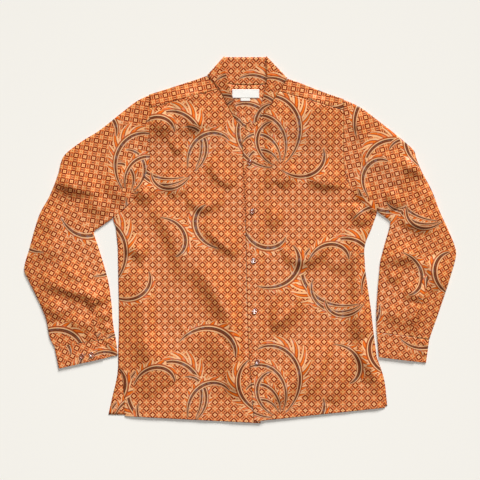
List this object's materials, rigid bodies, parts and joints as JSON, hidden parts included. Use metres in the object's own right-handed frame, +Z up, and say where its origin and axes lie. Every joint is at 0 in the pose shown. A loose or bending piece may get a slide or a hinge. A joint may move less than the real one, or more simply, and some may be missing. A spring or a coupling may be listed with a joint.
{
  "type": "long sleeve shirt",
  "caption": "Long-sleeve button-front shirt in printed cloth, laid flat on its back with the collar open and the sleeves bent down at its sides.",
  "frame": {"origin": "centre of the laid shirt's outline in plan, on the plane of the table it lies on", "axes": "+X towards the wearer's left sleeve, +Y towards the collar, +Z up from the table out of the shirt's front"},
  "size_m": [0.9044, 0.7701, 0.0135],
  "materials": {
    "printed_cloth": "smooth printed weave with a faint sheen",
    "button": "gloss, turned, four sewing holes",
    "label_tape": "bare woven satin tape"
  },
  "bodies": {
    "root": {"back": "printed_cloth", "yoke": "printed_cloth", "front_right": "printed_cloth", "front_left": "printed_cloth", "sleeve_right": "printed_cloth", "sleeve_left": "printed_cloth", "placket_right": "printed_cloth", "placket_left": "printed_cloth", "cuff_right": "printed_cloth", "cuff_left": "printed_cloth", "collar": "printed_cloth", "button_front_1": "button", "button_front_2": "button", "button_front_3": "button", "button_front_4": "button", "button_front_5": "button", "button_cuff_1": "button", "button_cuff_2": "button", "label": "label_tape", "size_tab": "label_tape"}
  },
  "joints": []
}
